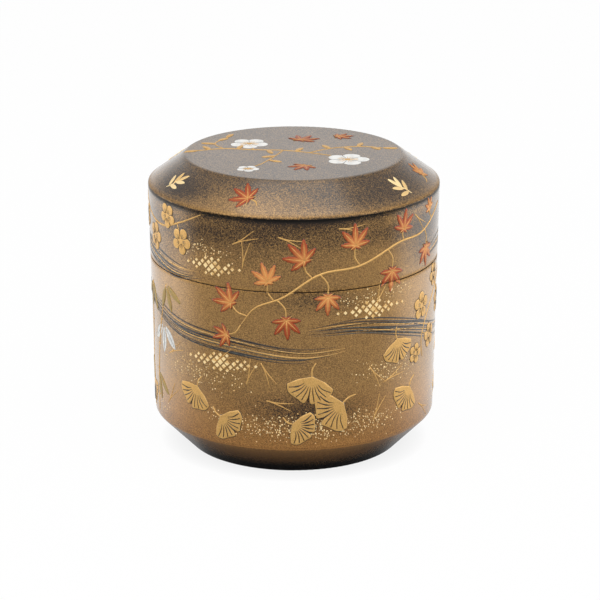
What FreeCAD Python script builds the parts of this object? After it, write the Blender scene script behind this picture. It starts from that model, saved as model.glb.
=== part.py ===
"""Bevelled tea caddy of turned wood under lacquer: a deep cup with a standing collar, and a lid that
drops over it.

Millimetres, +Z up. The origin is the centre of the base. Bearing 0 is the front, which faces -Y, and
bearings grow towards +X, so a positive bearing lies to the right of someone facing the caddy.
"""

import FreeCAD
import Part
import math
import os
from FreeCAD import Vector

# Outline of the closed caddy
HEIGHT = 69.6
SHOULDER_DIAMETER = 68.0  # widest place, at the lower edge of the lid's bevel
TOP_FACE_DIAMETER = 50.5
LID_BEVEL_HEIGHT = 6.4
FOOT_DIAMETER = 66.1  # upper edge of the foot's bevel, so the wall narrows a little downwards
FOOT_BEVEL_HEIGHT = 8.2
BASE_DIAMETER = 50.0
LID_HEIGHT = 23.7  # from the seam, where its rim meets the ledge of the cup, to the top

# Walls, with their lacquer
LID_WALL = 2.6  # at the seam
LID_BEVEL_WALL = 3.2
LID_TOP_WALL = 3.2
LID_CORNER_RADIUS = 6.0
WELL_FLOOR = 4.2
WELL_CORNER_RADIUS = 10.0  # a tea scoop can follow it

# Collar that the lid slides over, turned from the cup's own wood
COLLAR_WALL = 2.0
COLLAR_RISE = 8.5  # above the seam
LID_CLEARANCE = 0.15

# Lacquer coats
OUTER_COAT = 0.5
RIM_COAT = 0.3  # under the lid's rim and over the cup's ledge
COLLAR_COAT = 0.2
LINING_COAT = 0.3
BASE_COAT = 0.5
BASE_LAP = 1.5  # how far the wall's coat laps under the base

# Rounded edges of the finished lacquer
TOP_ROUND = 0.9
SHOULDER_ROUND = 0.6
SEAM_ROUND = 0.25
FOOT_ROUND = 1.2
BASE_ROUND = 0.5
COLLAR_ROUND = 0.4
LIP_ROUND = 0.2

# Shell blossoms let into the lid's top: (bearing, gap to the edge of the top face, blossom radius, turn)
BLOSSOMS = [
    (62.0, 6.2, 5.0, 10.0),
    (-128.0, 7.4, 4.5, 40.0),
    (-35.0, 4.4, 2.6, 25.0),
]
BLOSSOM_PETALS = 5
PETAL_REACH = 0.58  # of the blossom's radius, from its middle to the centre of a petal's arc
INLAY_BED = 0.2  # lacquer left under shell and silver
INLAY_FIT = 0.05  # gap around each plate in its pocket

# Silver bamboo leaves let into the cup's wall, drooping in sprays: (bearing, drop below the seam)
LEAF_SPRAYS = [(-64.0, 13.0), (118.0, 12.0)]
LEAF_TILTS = (134.0, 178.0, 224.0)  # from upright, anticlockwise to someone facing the spray
LEAF_LENGTH = 6.4
LEAF_WIDTH = 2.3
LEAF_STALK = 1.1  # from the spray's joint to the foot of each leaf

# Cut gold squares laid on the wall in mist bands, standing on their corners in a lattice
FOIL = 0.12
SQUARE_SIDE = 1.0
SQUARE_PITCH = 1.75  # from one square's middle to the next along a row
SQUARE_SHRINK = 0.45  # share of the side that is lost at the ends of a band
BAND_ROWS = 2  # lattice rows above and below the middle row
# Each band: (bearing, distance from the seam, length along the wall)
CUP_BANDS = [(32.0, 5.4, 18.0), (-30.0, 17.9, 20.0), (-150.0, 8.0, 16.0), (140.0, 21.0, 16.0)]
LID_BANDS = [(-33.0, 4.6, 14.0), (120.0, 5.0, 14.0)]

shoulder_r = SHOULDER_DIAMETER / 2
top_r = TOP_FACE_DIAMETER / 2
foot_r = FOOT_DIAMETER / 2
base_r = BASE_DIAMETER / 2
base_disc_r = base_r - BASE_LAP
shoulder_z = HEIGHT - LID_BEVEL_HEIGHT
seam_z = HEIGHT - LID_HEIGHT
wall_lean = (shoulder_r - foot_r) / (shoulder_z - FOOT_BEVEL_HEIGHT)


def wall_radius(z):
    """Radius of the lacquered wall at a height between the foot's edge and the shoulder."""
    return foot_r + wall_lean * (z - FOOT_BEVEL_HEIGHT)


seam_r = wall_radius(seam_z)
lid_bore_r = seam_r - LID_WALL
collar_r = lid_bore_r - LID_CLEARANCE
well_r = collar_r - COLLAR_WALL
collar_top = seam_z + COLLAR_RISE
collar_wood_r = collar_r - COLLAR_COAT
collar_wood_top = collar_top - COLLAR_COAT
inlay_thickness = OUTER_COAT - INLAY_BED


# Turning profiles

def corner(r, z, rounding=0.0):
    """A corner of a profile: a point in the XZ half plane, and the radius that rounds it."""
    return Vector(r, 0, z), rounding


def inward(along):
    """Direction to the left of a stretch, which is into the piece on a profile that runs anticlockwise."""
    return Vector(-along.z, 0, along.x)


def meet(point_a, along_a, point_b, along_b):
    """Where two lines of the profile plane cross."""
    cross = along_a.x * along_b.z - along_a.z * along_b.x
    gap = point_b - point_a
    return point_a + along_a * ((gap.x * along_b.z - gap.z * along_b.x) / cross)


def inset(corners, depths):
    """The same run of corners, left sharp, with each stretch between two of them moved in by its own depth."""
    stretches = []
    for (start, _), (end, _), depth in zip(corners, corners[1:], depths):
        along = (end - start).normalize()
        shift = inward(along) * depth
        stretches.append((start + shift, along, end + shift))
    crossings = [meet(*before[:2], *after[:2]) for before, after in zip(stretches, stretches[1:])]
    return [(point, 0.0) for point in [stretches[0][0], *crossings, stretches[-1][2]]]


def profile_wire(corners):
    """A closed wire through the corners, with a tangent arc at each one that is rounded."""
    bends = []
    for index, (point, rounding) in enumerate(corners):
        back = (corners[index - 1][0] - point).normalize()
        ahead = (corners[(index + 1) % len(corners)][0] - point).normalize()
        half = back.getAngle(ahead) / 2
        reach = rounding / math.tan(half)
        nearest = point + (back + ahead).normalize() * (rounding / math.sin(half) - rounding)
        bends.append((point + back * reach, nearest, point + ahead * reach))
    edges = []
    for index, (start, nearest, end) in enumerate(bends):
        if corners[index][1] > 0:
            edges.append(Part.Arc(start, nearest, end).toShape())
        next_start = bends[(index + 1) % len(bends)][0]
        edges.append(Part.LineSegment(end, next_start).toShape())
    return Part.Wire(edges)


def turned(corners):
    """A piece turned about Z from its half profile."""
    face = Part.Face(profile_wire(corners))
    return face.revolve(Vector(0, 0, 0), Vector(0, 0, 1), 360)


lid_skin = [
    corner(lid_bore_r + LINING_COAT, seam_z),
    corner(seam_r, seam_z, SEAM_ROUND),
    corner(shoulder_r, shoulder_z, SHOULDER_ROUND),
    corner(top_r, HEIGHT, TOP_ROUND),
    corner(0, HEIGHT),
]
lid_wood_skin = inset(lid_skin, [RIM_COAT, OUTER_COAT, OUTER_COAT, OUTER_COAT])

cup_skin = [
    corner(base_disc_r, 0),
    corner(base_r, 0, BASE_ROUND),
    corner(foot_r, FOOT_BEVEL_HEIGHT, FOOT_ROUND),
    corner(seam_r, seam_z, SEAM_ROUND),
    corner(collar_r, seam_z),
]
cup_wood_skin = inset(cup_skin, [BASE_COAT, OUTER_COAT, OUTER_COAT, RIM_COAT])


def lid_hollow(grow):
    """Inside of the lid from its mouth to its axis, grown outwards into the wood."""
    bore = lid_bore_r + grow
    ceiling = HEIGHT - LID_TOP_WALL + grow
    rounding = LID_CORNER_RADIUS + grow
    shoulder = Vector(shoulder_r, 0, shoulder_z)
    along = (Vector(top_r, 0, HEIGHT) - shoulder).normalize()
    bevel = shoulder + inward(along) * (LID_BEVEL_WALL - grow)
    lower = meet(Vector(bore, 0, 0), Vector(0, 0, 1), bevel, along)
    upper = meet(bevel, along, Vector(0, 0, ceiling), Vector(1, 0, 0))
    return [corner(bore, seam_z), (lower, rounding), (upper, rounding), corner(0, ceiling)]


def well(grow, mouth):
    """Inside of the cup from its axis up to a mouth height, grown outwards into the wood."""
    floor = WELL_FLOOR - grow
    radius = well_r + grow
    return [
        corner(0, floor),
        corner(radius, floor, WELL_CORNER_RADIUS + grow),
        corner(radius, mouth),
    ]


# The cup

def make_cup_core():
    """Turned wooden cup, with the collar standing inside its ledge."""
    collar = [
        corner(collar_wood_r, seam_z - RIM_COAT),
        corner(collar_wood_r, collar_wood_top),
    ]
    inside = well(LINING_COAT, collar_wood_top)
    return turned([corner(0, BASE_COAT)] + cup_wood_skin[1:-1] + collar + inside[::-1])


def make_cup_wall_lacquer():
    """Coat over the ledge, wall and foot bevel, lapped under the base, with pockets for the leaves."""
    coat = turned(cup_skin + cup_wood_skin[::-1])
    return coat.cut(Part.makeCompound(leaf_plates(INLAY_FIT)))


def make_cup_collar_lacquer():
    """Coat over the outside and the top of the collar."""
    return turned([
        corner(collar_wood_r, seam_z - RIM_COAT),
        corner(collar_r, seam_z - RIM_COAT),
        corner(collar_r, collar_top, COLLAR_ROUND),
        corner(well_r + LINING_COAT, collar_top),
        corner(well_r + LINING_COAT, collar_wood_top),
        corner(collar_wood_r, collar_wood_top),
    ])


def make_cup_lining_lacquer():
    """Coat inside the cup, up to the top of the collar."""
    lip = corner(well_r, collar_top, LIP_ROUND)
    return turned(well(LINING_COAT, collar_top) + [lip] + well(0, collar_top)[1::-1])


def make_cup_base_lacquer():
    """Coat under the base, which the caddy stands on."""
    return Part.makeCylinder(base_disc_r, BASE_COAT)


# The lid

def make_lid_core():
    """Turned wooden lid, bevelled outside and hollowed to follow the bevel."""
    return turned(lid_wood_skin + lid_hollow(LINING_COAT)[:0:-1])


def make_lid_outer_lacquer():
    """Coat over the lid's top, bevel, wall and rim, with pockets for the blossoms."""
    coat = turned(lid_skin + lid_wood_skin[::-1])
    return coat.cut(Part.makeCompound(blossom_plates(INLAY_FIT)))


def make_lid_lining_lacquer():
    """Coat inside the lid, down to the rim."""
    lip = corner(lid_bore_r, seam_z, LIP_ROUND)
    return turned([lip] + lid_hollow(LINING_COAT) + lid_hollow(0)[:0:-1])


# Plates let into the lacquer

def blossom_face(radius, turn):
    """A blossom lying in XY about the origin: one arc for each round petal."""
    step = 2 * math.pi / BLOSSOM_PETALS
    reach = radius * PETAL_REACH
    half_gap = reach * math.sin(step / 2)
    notch_r = reach * math.cos(step / 2) + math.sqrt((radius - reach) ** 2 - half_gap**2)
    arcs = []
    for index in range(BLOSSOM_PETALS):
        angle = math.radians(turn) + index * step
        points = [
            Vector(distance * math.cos(angle + swing), distance * math.sin(angle + swing), 0)
            for distance, swing in ((notch_r, -step / 2), (radius, 0), (notch_r, step / 2))
        ]
        arcs.append(Part.Arc(*points).toShape())
    return Part.Face(Part.Wire(arcs))


def blossom_plates(fit):
    """Blossoms flush with the lid's top, or their pockets when grown by a fit."""
    plates = []
    for bearing, edge_gap, radius, turn in BLOSSOMS:
        distance = top_r - edge_gap - radius
        plate = blossom_face(radius + fit, turn).extrude(Vector(0, 0, inlay_thickness))
        plate.translate(Vector(0, -distance, HEIGHT - inlay_thickness))
        plate.rotate(Vector(0, 0, 0), Vector(0, 0, 1), bearing)
        plates.append(plate)
    return plates


def make_lid_shell_blossoms():
    """Shell blossoms in the lid's top, one solid each."""
    return Part.makeCompound(blossom_plates(0))


def leaf_face(fit):
    """A pointed leaf in XY, its foot at the origin and its tip along +Y: two arcs that meet in points."""
    foot = Vector(0, -fit, 0)
    tip = Vector(0, LEAF_LENGTH + fit, 0)
    right, left = [Vector(side * (LEAF_WIDTH / 2 + fit), LEAF_LENGTH / 2, 0) for side in (1, -1)]
    arcs = [Part.Arc(foot, right, tip), Part.Arc(tip, left, foot)]
    return Part.Face(Part.Wire([arc.toShape() for arc in arcs]))


def wall_prism(face, bearing, z):
    """A flat face, drawn as someone facing the wall sees it, driven through the wall towards the axis."""
    prism = face.extrude(Vector(0, 0, shoulder_r))
    prism.rotate(Vector(0, 0, 0), Vector(1, 0, 0), 90)
    prism.translate(Vector(0, -shoulder_r / 2, z))
    prism.rotate(Vector(0, 0, 0), Vector(0, 0, 1), bearing)
    return prism


def wall_sleeve(low, high, inner, outer):
    """A conical sleeve along the wall, between two offsets from the finished lacquer."""
    return turned([
        corner(wall_radius(low) + inner, low),
        corner(wall_radius(low) + outer, low),
        corner(wall_radius(high) + outer, high),
        corner(wall_radius(high) + inner, high),
    ])


def leaf_plates(fit):
    """Leaves flush with the cup's wall, or their pockets when grown by a fit."""
    sleeve = wall_sleeve(FOOT_BEVEL_HEIGHT, seam_z, -inlay_thickness, 0)
    plates = []
    for bearing, drop in LEAF_SPRAYS:
        for tilt in LEAF_TILTS:
            face = leaf_face(fit)
            face.translate(Vector(0, LEAF_STALK, 0))
            face.rotate(Vector(0, 0, 0), Vector(0, 0, 1), tilt)
            plates += wall_prism(face, bearing, seam_z - drop).common(sleeve).Solids
    return plates


def make_cup_silver_leaves():
    """Silver leaves in the cup's wall, one solid each."""
    return Part.makeCompound(leaf_plates(0))


# Gold laid on the lacquer

def square_face(side):
    """A square standing on its corner about the origin."""
    reach = side / math.sqrt(2)
    points = [Vector(reach, 0, 0), Vector(0, reach, 0), Vector(-reach, 0, 0), Vector(0, -reach, 0)]
    return Part.Face(Part.makePolygon(points + points[:1]))


def band_squares(length):
    """Lattice places of one mist band, as (across, up, side), with smaller squares towards its ends."""
    half_columns = round(length / SQUARE_PITCH)
    places = []
    for row in range(-BAND_ROWS, BAND_ROWS + 1):
        for column in range(-half_columns, half_columns + 1):
            spread = abs(column) / half_columns + abs(row) / (BAND_ROWS + 1)
            on_lattice = (row + column) % 2 == 0
            left_out = row != 0 and (3 * column + 5 * row) % 7 == 0
            if on_lattice and not left_out and spread <= 1:
                side = SQUARE_SIDE * (1 - SQUARE_SHRINK * spread)
                places.append((column * SQUARE_PITCH / 2, row * SQUARE_PITCH / 2, side))
    return places


def gold_square(side, bearing, z):
    """One square lying on the wall, thickened outwards."""
    square = square_face(side).extrude(Vector(0, 0, FOIL))
    square.rotate(Vector(0, 0, 0), Vector(1, 0, 0), 90 + math.degrees(math.atan(wall_lean)))
    square.translate(Vector(0, -wall_radius(z), z))
    square.rotate(Vector(0, 0, 0), Vector(0, 0, 1), bearing)
    return square


def gold_bands(bands, upwards):
    """All the squares of some bands above or below the seam, one solid each."""
    squares = []
    for bearing, distance, length in bands:
        middle = seam_z + upwards * distance
        for across, up, side in band_squares(length):
            turn = math.degrees(across / wall_radius(middle))
            squares.append(gold_square(side, bearing + turn, middle + up))
    return Part.makeCompound(squares)


def make_cup_gold_squares():
    """Gold squares on the cup's wall."""
    return gold_bands(CUP_BANDS, -1)


def make_lid_gold_squares():
    """Gold squares on the lid's wall."""
    return gold_bands(LID_BANDS, 1)


PIECES = {
    "cup_core": make_cup_core,
    "cup_wall_lacquer": make_cup_wall_lacquer,
    "cup_collar_lacquer": make_cup_collar_lacquer,
    "cup_lining_lacquer": make_cup_lining_lacquer,
    "cup_base_lacquer": make_cup_base_lacquer,
    "cup_gold_squares": make_cup_gold_squares,
    "cup_silver_leaves": make_cup_silver_leaves,
    "lid_core": make_lid_core,
    "lid_outer_lacquer": make_lid_outer_lacquer,
    "lid_lining_lacquer": make_lid_lining_lacquer,
    "lid_gold_squares": make_lid_gold_squares,
    "lid_shell_blossoms": make_lid_shell_blossoms,
}

os.makedirs("parts", exist_ok=True)
for name, make in PIECES.items():
    make().exportStep(os.path.join("parts", name + ".step"))
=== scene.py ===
"""Looks of a lacquered tea caddy, laid out as an add-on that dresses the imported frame.

The frame is in metres. Drawings on the lacquer are laid out in millimetres and degrees: bearing 0 is the
front, which faces -Y, bearings grow towards +X, and heights run up from the base.
"""

import bmesh
import bpy
import math
import random
from bpy.props import FloatProperty, FloatVectorProperty, PointerProperty
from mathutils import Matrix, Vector
from mathutils.bvhtree import BVHTree
from types import SimpleNamespace


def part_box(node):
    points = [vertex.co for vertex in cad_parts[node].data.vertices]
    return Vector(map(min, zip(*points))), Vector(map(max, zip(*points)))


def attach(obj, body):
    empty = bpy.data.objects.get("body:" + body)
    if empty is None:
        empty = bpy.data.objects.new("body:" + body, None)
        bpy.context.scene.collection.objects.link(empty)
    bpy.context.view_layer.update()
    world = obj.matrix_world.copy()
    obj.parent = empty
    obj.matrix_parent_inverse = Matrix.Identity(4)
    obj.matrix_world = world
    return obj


bl_info = {
    "name": "Lacquered tea caddy",
    "version": (1, 0, 0),
    "blender": (4, 5, 0),
    "location": "3D View > Sidebar > Caddy",
    "description": "Finishes and raised drawings of a lacquered tea caddy, built on its packed frame",
    "category": "Object",
}

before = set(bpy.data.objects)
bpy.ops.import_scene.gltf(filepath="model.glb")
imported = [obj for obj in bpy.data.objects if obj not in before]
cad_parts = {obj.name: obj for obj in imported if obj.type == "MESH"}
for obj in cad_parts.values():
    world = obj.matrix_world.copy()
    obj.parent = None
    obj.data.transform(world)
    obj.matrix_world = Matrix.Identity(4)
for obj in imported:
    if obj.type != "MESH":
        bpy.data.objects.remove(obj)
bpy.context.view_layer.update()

MM = 0.001
UP = Vector((0, 0, 1))
AWAY = Vector((0, 1, 0))  # up the page of a drawing on the lid's top
LID_LOW, LID_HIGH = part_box("lid_outer_lacquer")
HEIGHT = LID_HIGH.z / MM
SEAM = LID_LOW.z / MM
SHOULDER = 62.9  # the rubbed edge, just under the start of the lid's bevel
WALL_RADIUS = LID_HIGH.x / MM
CLEAR = 12.0  # from where rays start to the skin
SKIN_NODES = ("cup_wall_lacquer", "cup_silver_leaves", "lid_outer_lacquer", "lid_shell_blossoms")

# Layout of the drawings. A spot is a bearing and a height, and a leaf or blossom adds its share of the usual
# size. A spray is the spots along a branch and the leaves or blossoms on it.
MAPLE_SPRAYS = (
    (
        ((78, 59.8), (60, 55.4), (44, 54.8), (26, 51.2), (10, 50.0), (-4, 44.8), (-15, 42.0), (-21, 37.6)),
        ((63, 51.2, 0.95), (66, 60.0, 0.6), (47, 57.8, 0.95), (41, 48.6, 1.0), (24, 56.2, 1.05),
         (13, 44.6, 0.9), (4, 53.4, 1.1), (-10, 48.4, 0.95), (-3, 39.4, 0.95), (-25, 42.6, 1.05),
         (-27, 34.9, 0.8)),
    ),
    (
        ((-108, 60.0), (-126, 55.4), (-144, 52.4), (-160, 48.0), (-176, 43.0), (-188, 40.0)),
        ((-118, 51.6, 1.0), (-134, 57.6, 1.0), (-147, 47.4, 0.95), (-158, 53.4, 1.1),
         (-168, 40.2, 1.0), (-182, 47.6, 1.05), (-196, 37.4, 0.9)),
    ),
)
FALLEN_MAPLE = (  # bearing, height, share of the usual size, turn
    (-20, 66.2, 1.0, 300), (152, 66.0, 0.95, 60), (78, 66.2, 0.8, 40), (100, 31.0, 0.9, 215),
)
GINKGO_LEAVES = (  # bearing, height, share of the usual size, turn
    (-42, 20.4, 0.95, 205), (-30, 14.6, 0.9, 130), (7, 25.4, 1.05, 190), (19, 18.6, 1.1, 236),
    (0, 14.4, 0.85, 120), (45, 31.4, 0.95, 170), (53, 18.6, 0.95, 215), (-84, 15.0, 0.9, 150),
    (92, 16.6, 1.0, 160), (108, 20.0, 0.9, 230), (-128, 19.0, 1.05, 200), (-146, 14.4, 0.9, 140),
    (172, 22.4, 1.1, 190), (156, 15.0, 0.95, 235), (-168, 30.6, 0.9, 160), (-110, 35.0, 0.85, 215),
)
PLUM_SPRAYS = (
    (
        ((-92, 61.6), (-76, 57.6), (-62, 56.6), (-50, 58.8), (-38, 62.0)),
        ((-70, 53.0, 1.0), (-58, 59.4, 0.9), (-49, 54.6, 0.95), (-84, 55.6, 0.8)),
    ),
    (
        ((96, 44.2), (80, 40.6), (69, 36.0), (62, 30.0), (63, 24.6)),
        ((74, 43.0, 0.85), (83, 35.4, 1.0), (61, 37.4, 1.0), (70, 28.8, 0.9), (57, 26.4, 0.75)),
    ),
    (
        ((92, 62.0), (106, 57.6), (122, 56.2), (138, 59.0), (150, 62.0)),
        ((99, 53.8, 0.95), (113, 59.6, 0.9), (128, 52.6, 1.0), (141, 54.6, 0.9)),
    ),
)
BAMBOO_STEMS = (
    ((-73, 9.6), (-72, 18.0), (-70, 26.0), (-66, 34.0), (-61, 42.6)),
    ((-81, 9.6), (-82, 20.0), (-80, 30.0), (-77, 41.0)),
    ((126, 9.8), (125, 20.0), (121, 30.0), (116, 43.4)),
)
BAMBOO_LEAVES = (  # bearing and height of a joint, turns of the leaves on it
    (-61, 42.8, (120, 160, 200)), (-77, 41.0, (150, 190, 232)), (-72, 19.6, (125, 165)),
    (-82, 21.6, (195, 235)), (116, 43.6, (140, 182, 226)), (125, 20.4, (150, 205)),
)
SPRIGS = (  # bearing, height, turn
    (-66, 65.0, 35), (56, 64.8, 330), (-112, 65.0, 20), (-142, 65.0, 335), (176, 65.0, 25), (118, 64.8, 340),
    (-100, 24.0, 20), (141, 28.0, 345), (-176, 12.0, 15),
)
PINE_NEEDLES = (  # bearing, height, turn
    (-34, 27.6, 62), (-19, 23.4, 18), (-11, 20.0, 104), (31, 26.6, 142), (38, 22.2, 72), (33, 13.4, 24),
    (-60, 26.0, 60), (61, 13.4, 122), (-13, 29.0, 152), (33, 40.2, 20), (-24, 56.4, 64),
    (-6, 58.8, 108), (17, 60.4, 96), (-62, 13.6, 40), (-20, 51.0, 8), (54, 60.2, 130),
    (84, 22.4, 58), (98, 38.6, 130), (112, 27.0, 20), (134, 16.4, 100), (148, 44.0, 64), (160, 57.6, 150),
    (170, 27.2, 30), (-172, 17.2, 120), (-156, 24.4, 76), (-140, 32.6, 14), (-124, 41.2, 98),
    (-112, 56.6, 140), (-104, 30.2, 56), (-92, 20.4, 110), (-150, 59.4, 36), (126, 60.6, 88),
)
STREAMS = (
    ((-104, 41.0), (-78, 37.6), (-52, 33.8), (-24, 32.6), (2, 31.0), (22, 32.0)),
    ((4, 36.4), (26, 36.6), (50, 34.0), (76, 29.6), (104, 26.2)),
    ((112, 41.6), (140, 38.4), (166, 36.4), (190, 33.4), (216, 35.6), (246, 41.2)),
    ((-132, 52.4), (-104, 50.0), (-78, 49.6), (-54, 47.6), (-36, 47.8)),
    ((58, 49.4), (82, 50.6), (108, 48.4), (136, 48.8), (160, 51.6)),
)
FLAKE_DRIFTS = (  # bearing, half width in degrees, height, half height, count
    (8, 46, 13.6, 2.6, 620), (-40, 26, 24.4, 2.4, 130), (34, 24, 43.6, 1.6, 90), (40, 20, 25.0, 2.6, 110),
    (-36, 18, 53.6, 2.0, 70), (-98, 40, 13.0, 2.6, 360), (112, 44, 13.2, 2.8, 420),
    (190, 46, 14.0, 3.0, 480), (190, 40, 27.0, 3.0, 150), (118, 22, 53.4, 1.8, 80),
)
FLAKES_FROM, FLAKES_TO = 9.2, 62.4  # above the foot's bevel and under the lid's
FLAKES_OFF_SEAM = 0.5
TOP_TWIGS = (  # on the lid's top, in millimetres right of and behind its middle
    ((-22.5, 1.5), (-16.5, 3.4), (-9.5, 2.4), (-2.5, 1.8), (3.5, -0.4), (8.6, -3.1)),
    ((-9.5, 2.4), (-9.4, 3.2), (-9.9, 3.8)),
    ((-2.5, 1.8), (-4.8, -4.6), (-7.2, -10.2), (-8.9, -12.8)),
    ((3.5, -0.4), (8.6, 3.6), (15.0, 5.4), (20.6, 4.0)),
    ((-16.5, 3.4), (-18.6, 8.2), (-16.0, 14.0)),
)
TOP_LEAVES = (  # across, back, turn
    (-22.3, 1.6, 250), (-19.6, 2.7, 330), (-13.2, 3.2, 20), (-6.2, 2.1, 160), (0.4, 1.0, 30),
    (8.4, 3.6, 330), (11.8, 4.8, 150), (15.0, 5.6, 20), (18.0, 5.2, 140), (20.8, 4.0, 95), (-18.4, 8.0, 280),
    (-17.8, 11.0, 40), (-16.0, 14.2, 25), (-4.2, -3.4, 250), (-5.8, -7.2, 120),
)
TOP_MAPLE = ((1.6, 11.4, 1.05, 30), (10.4, 14.8, 0.8, 80), (2.6, -12.4, 0.9, 215))


def linear(hex_colour):
    """An sRGB hex colour as linear red, green and blue, with alpha."""
    channels = [int(hex_colour[start:start + 2], 16) / 255 for start in (0, 2, 4)]
    return [c / 12.92 if c <= 0.04045 else ((c + 0.055) / 1.055) ** 2.4 for c in channels] + [1.0]


def colour(label, text, hex_colour):
    """A colour that a user would change."""
    return FloatVectorProperty(
        name=label, description=text, default=linear(hex_colour), subtype="COLOR", size=4, min=0, max=1
    )


def size(label, text, millimetres):
    """A length that a user would change, given in millimetres and kept in metres."""
    return FloatProperty(name=label, description=text, default=millimetres * MM, unit="LENGTH", precision=5)


class CaddyColours(bpy.types.PropertyGroup):
    """Colours of the lacquers, the metals and the drawn lines."""

    dark_ground: colour("Dark ground", "Lacquer between the grains of gold dust", "2c1e11")
    foot_brown: colour("Foot brown", "Brown lacquer of the foot, which has little dust", "6c4d2b")
    deep_dust: colour("Deep dust", "Gold grains that lie deep in the lacquer", "8d6a3e")
    pale_dust: colour("Pale dust", "Gold grains polished open at the surface", "cfa160")
    red_dust: colour("Red dust", "Redder gold grains just above the foot", "c4853f")
    # Also the painted shade at the foot and the painted shadow under the shoulder of the gold dust lacquer.
    black: colour("Black lacquer", "Polished black of the collar and the base", "0d0b0a")
    amber: colour("Amber lacquer", "Amber lacquer over the flakes inside", "6a3d15")
    flake: colour("Inner flake", "Gold flakes under the amber lacquer", "d2a054")
    wood: colour("Wood", "Pale rings of the turned wood", "a97c50")
    dark_wood: colour("Dark wood", "Dark rings of the turned wood", "7a5230")
    raised_gold: colour("Raised gold", "Burnished gold of leaves and blossoms", "e2b66f")
    shaded_gold: colour("Shaded gold", "Gold where the dust is thin", "bb8c4a")
    cut_gold: colour("Cut gold", "Pale gold of the cut squares and flakes", "fde1a8")
    green_gold: colour("Green gold", "Gold with silver in it, on the bamboo leaves", "8d8553")
    maple_heart: colour("Maple heart", "Orange gold in the middle of a maple leaf", "d08b4c")
    maple_tip: colour("Maple tip", "Red at the tips of a maple leaf", "9a421c")
    ink: colour("Drawn black", "Outlines, veins and the dark lines of the stream", "2a1c12")
    stream: colour("Stream", "Blue-grey lines of the stream", "4e5654")
    silver: colour("Silver", "Satin silver sheet", "c9cac8")
    shell: colour("Shell", "White shell of the blossoms", "eceae4")
    shell_shade: colour("Shell bands", "Growth bands of the shell", "dcdbd6")


class CaddyDrawing(bpy.types.PropertyGroup):
    """Sizes of the drawings on the lacquer."""

    grain: size("Dust grain", "Gold dust, drawn about twice as coarse as real so that it shows", 0.16)
    maple: size("Maple leaf", "From the heart of a maple leaf to its tip", 5.0)
    ginkgo: size("Ginkgo leaf", "From the stalk of a ginkgo leaf to its outer edge", 6.2)
    plum: size("Plum blossom", "Radius of a plum blossom", 3.5)
    bamboo: size("Bamboo leaf", "Length of a bamboo leaf", 6.4)
    sprig: size("Sprig leaf", "Length of a small gold leaf", 3.4)
    needle: size("Pine needle", "Length of a fallen pine needle", 6.5)
    line: size("Gold line", "Width of a twig or stem", 0.52)
    vein: size("Vein", "Width of a dark vein in a gold leaf", 0.38)
    outline: size("Outline", "Dark line left round a leaf", 0.15)
    leaf_rise: size("Leaf rise", "Height of a leaf above the lacquer", 0.13)
    line_rise: size("Line rise", "Height of a twig above the lacquer", 0.1)
    shade_rise: size("Shade rise", "Height of flat dark lines above the lacquer", 0.035)
    flake: size("Flake", "Radius of a sprinkled gold flake", 0.19)


class CaddyStage(bpy.types.PropertyGroup):
    """Camera, floor and light."""

    camera_place: FloatVectorProperty(
        name="Camera", description="Place of the camera", default=(0.0, -0.59, 0.2214), subtype="TRANSLATION"
    )
    camera_pitch: FloatProperty(
        name="Pitch", description="How far the camera looks down", default=0.3083, subtype="ANGLE"
    )
    camera_yaw: FloatProperty(
        name="Yaw", description="How far the camera looks to the right", default=0.0024, subtype="ANGLE"
    )
    lens: FloatProperty(
        name="Lens", description="Focal length on a 36 mm sensor", default=156.9, subtype="DISTANCE_CAMERA"
    )
    floor_width: FloatProperty(name="Floor", description="Side of the floor", default=4.0, unit="LENGTH")
    room_light: FloatProperty(
        name="Room light", description="Light that falls from the walls of the room", default=0.35
    )


def drawing_sizes(context):
    """The sizes of the drawings, in millimetres."""
    settings = context.scene.caddy_drawing
    return SimpleNamespace(**{name: getattr(settings, name) / MM for name in CaddyDrawing.__annotations__})


# Drawing on the skin

def skin_tree():
    """The outer faces of the closed caddy, in millimetres, as a tree to shoot rays at."""
    skin = bmesh.new()
    for name in SKIN_NODES:
        skin.from_mesh(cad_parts[name].data)
    bmesh.ops.scale(skin, vec=(1 / MM,) * 3, verts=skin.verts)
    tree = BVHTree.FromBMesh(skin)
    skin.free()
    return tree


SKIN = skin_tree()


def touch(start, aim):
    """Where a ray first meets the skin, and the skin's normal there."""
    spot, normal, _, _ = SKIN.ray_cast(start, aim)
    if spot is None:
        raise RuntimeError("a drawing runs off the caddy")
    return spot, normal


def wall_point(bearing, height):
    """A spot as millimetres on the unrolled wall: arc from the front, and height."""
    return Vector((math.radians(bearing) * WALL_RADIUS, height))


def wall_line(spots, steps):
    """A smooth line through spots of the unrolled wall."""
    return smooth([wall_point(*spot) for spot in spots], steps)


def wall_sheet(x, y):
    """Lays a point of the unrolled wall on the skin."""
    bearing = x / WALL_RADIUS
    outward = Vector((math.sin(bearing), -math.cos(bearing), 0))
    return touch(outward * (WALL_RADIUS + CLEAR) + UP * y, -outward)


def top_sheet(x, y):
    """Lays a point of the lid's top on the skin."""
    return touch(Vector((x, y, HEIGHT + CLEAR)), -UP)


def patch(anchor, turn):
    """Lays a small flat drawing on the skin about an anchor, its y axis turned clockwise from upright."""
    spot, normal = anchor
    page_up = AWAY if normal.z > 0.9 else UP
    up = (page_up - normal * page_up.dot(normal)).normalized()
    right = up.cross(normal)
    angle = math.radians(turn)
    along = up * math.cos(angle) + right * math.sin(angle)
    across = right * math.cos(angle) - up * math.sin(angle)
    start = spot + normal * CLEAR
    return lambda x, y: touch(start + across * x + along * y, -normal)


def wall_patch(bearing, height, turn):
    """A patch on the wall or on either bevel."""
    return patch(wall_sheet(*wall_point(bearing, height)), turn)


def shifted(lay, middle):
    """A patch drawn about another middle."""
    return lambda x, y: lay(x + middle.x, y + middle.y)


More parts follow.
